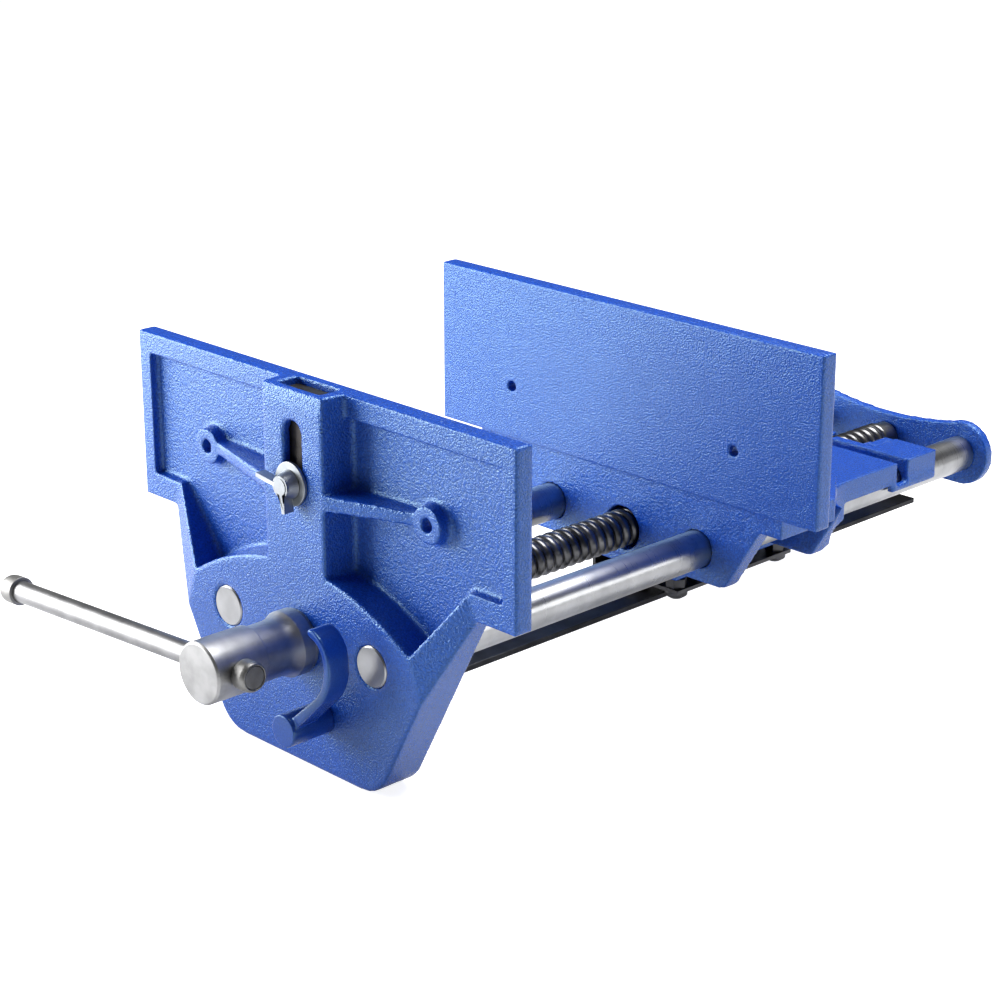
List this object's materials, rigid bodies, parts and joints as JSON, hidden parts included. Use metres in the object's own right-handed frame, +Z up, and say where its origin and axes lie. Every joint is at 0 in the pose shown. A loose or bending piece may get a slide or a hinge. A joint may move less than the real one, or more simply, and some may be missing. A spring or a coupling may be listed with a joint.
{
  "type": "woodworking_vise",
  "caption": "Quick-release woodworking vise for under-bench mounting: blue cast jaws, two bright guide bars, a dark screw with a sliding handle, a release trigger and a bench dog.",
  "frame": {"origin": "midway between the two front bench bolts, on the mounting flange's top face", "axes": "+X right seen from the front jaw, +Y away from the user along the guide bars, +Z up"},
  "size_m": [0.3099, 0.5215, 0.1835],
  "materials": {
    "paint": "hammertone blue paint over cast iron, semi-gloss",
    "trigger_paint": "smooth blue paint, semi-gloss",
    "bright": "ground and turned bare steel",
    "screw_steel": "oiled dark steel, satin",
    "zinc": "zinc plate",
    "dark_steel": "blackened steel, satin",
    "nut_iron": "bare machined cast iron",
    "spring_steel": "drawn spring wire"
  },
  "bodies": {
    "bench_jaw": {"bench_jaw": "paint", "keeper_plate": "dark_steel", "keeper_bolts": "dark_steel", "keeper_nuts": "zinc", "half_nut_springs": "spring_steel"},
    "front_jaw": {"front_jaw": "paint", "guide_bar_left": "bright", "guide_bar_right": "bright", "bar_pins": "dark_steel", "rear_plate": "paint", "rear_plate_washers": "zinc", "rear_plate_nuts": "zinc"},
    "screw": {"main_screw": "screw_steel", "screw_head": "bright", "head_pin": "dark_steel", "thrust_washer": "zinc", "retaining_collar": "dark_steel", "collar_pin": "bright"},
    "tommy_bar": {"tommy_bar": "bright", "knob_left": "bright", "knob_right": "bright"},
    "trigger": {"release_trigger": "trigger_paint", "trigger_pin": "dark_steel", "release_bar": "dark_steel"},
    "half_nut": {"half_nut": "nut_iron"},
    "dog": {"dog": "bright", "dog_washer": "zinc"},
    "wing_screw": {"wing_screw": "zinc"}
  },
  "joints": [
    {"name": "jaw_slide", "type": "slide", "parent": "bench_jaw", "child": "front_jaw", "axis": [0, 1, 0], "range_m": [-0.0315, 0.1925]},
    {"name": "screw_turn", "type": "hinge", "parent": "front_jaw", "child": "screw", "pos_m": [0, -0.2457, -0.033], "axis": [0, 1, 0], "range_deg": [-1780, 10900]},
    {"name": "tommy_slide", "type": "slide", "parent": "screw", "child": "tommy_bar", "axis": [0.9981, 0, 0.061], "range_m": [0, 0.148]},
    {"name": "trigger_turn", "type": "hinge", "parent": "front_jaw", "child": "trigger", "pos_m": [0.0175, -0.2457, -0.0663], "axis": [0, -1, 0], "range_deg": [0, 28]},
    {"name": "half_nut_drop", "type": "slide", "parent": "bench_jaw", "child": "half_nut", "axis": [0, 0, -1], "range_m": [0, 0.0031], "stiffness_N_per_m": 40, "springref_m": -0.038, "deforming": ["half_nut_springs"]},
    {"name": "dog_slide", "type": "slide", "parent": "front_jaw", "child": "dog", "axis": [0, 0, 1], "range_m": [0, 0.025]},
    {"name": "wing_turn", "type": "hinge", "parent": "dog", "child": "wing_screw", "pos_m": [0, -0.2487, 0.044], "axis": [0, 1, 0], "range_deg": [0, 180]}
  ],
  "couplings": [
    {"joint": "jaw_slide", "follows": "screw_turn", "m_per_rad": 0.0010106},
    {"joint": "half_nut_drop", "follows": "trigger_turn", "m_per_rad": 0.0061389}
  ]
}
